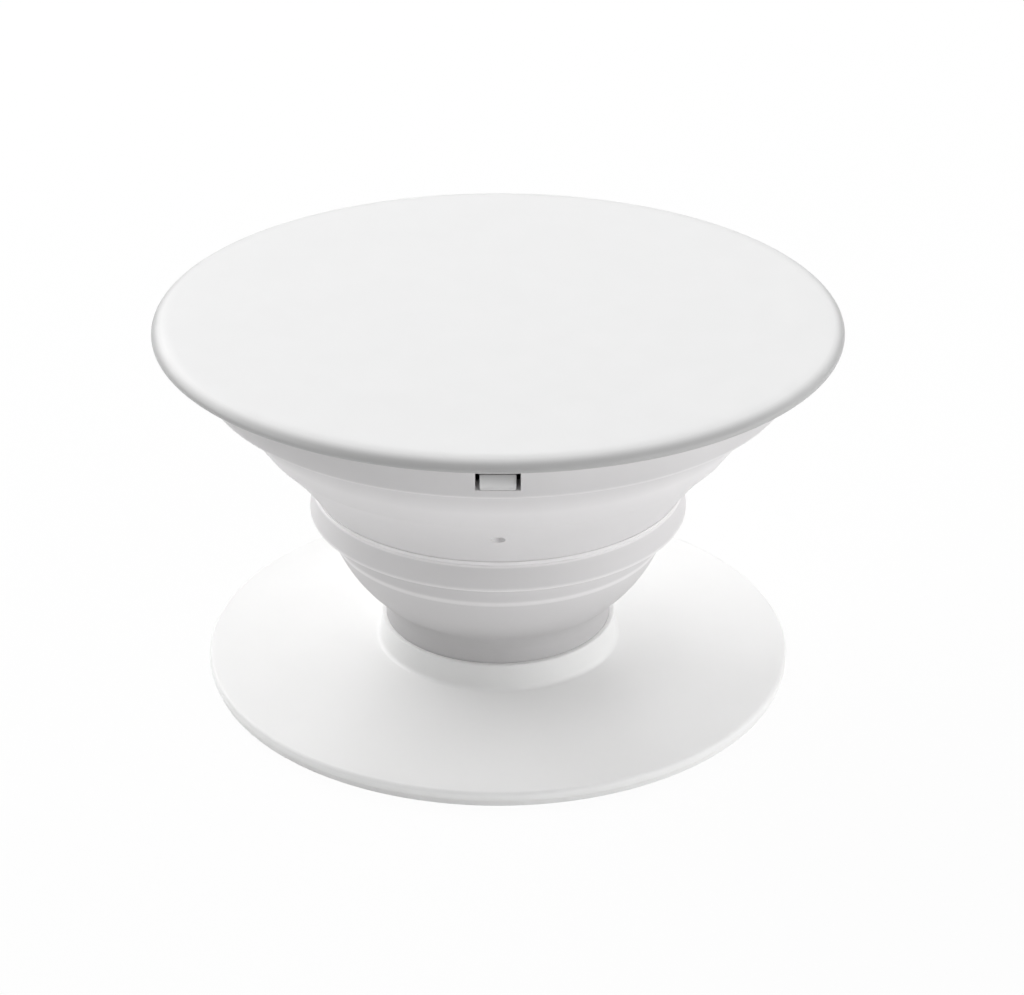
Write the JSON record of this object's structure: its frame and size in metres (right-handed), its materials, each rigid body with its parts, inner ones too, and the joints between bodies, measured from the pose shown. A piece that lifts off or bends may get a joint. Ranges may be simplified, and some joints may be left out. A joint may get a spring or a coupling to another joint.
{
  "type": "folding phone grip",
  "caption": "Round finger disc on a two-stage collapsible accordion that turns in the collar of a thin round stick-on base.",
  "frame": {"origin": "centre of the underside of the adhesive pad, on the axis of the disc", "axes": "+Z along the axis, from the base to the disc; -Y towards the side with the vent"},
  "size_m": [0.04, 0.04, 0.0226],
  "materials": {
    "adhesive": "dull pale acrylic gel",
    "base_plastic": "satin moulded white plastic",
    "accordion_elastomer": "matte white thermoplastic elastomer",
    "disc_plastic": "smooth satin white plastic"
  },
  "bodies": {
    "base": {"adhesive_pad": "adhesive", "base_plate": "base_plastic"},
    "foot": {"accordion_foot": "accordion_elastomer", "accordion_lower_web": "accordion_elastomer"},
    "middle": {"accordion_middle_ring": "accordion_elastomer", "accordion_upper_web": "accordion_elastomer"},
    "top": {"accordion_top_ring": "accordion_elastomer", "top_disc": "disc_plastic"}
  },
  "joints": [
    {"name": "swivel", "type": "hinge", "parent": "base", "child": "foot", "pos_m": [0, 0, 0.00119], "axis": [0, 0, 1], "continuous": true},
    {"name": "lower_fold", "type": "slide", "parent": "foot", "child": "middle", "axis": [0, 0, -1], "range_m": [0, 0.007], "deforming": ["accordion_lower_web"]},
    {"name": "upper_fold", "type": "slide", "parent": "middle", "child": "top", "axis": [0, 0, -1], "range_m": [0, 0.0071], "deforming": ["accordion_upper_web"]}
  ]
}
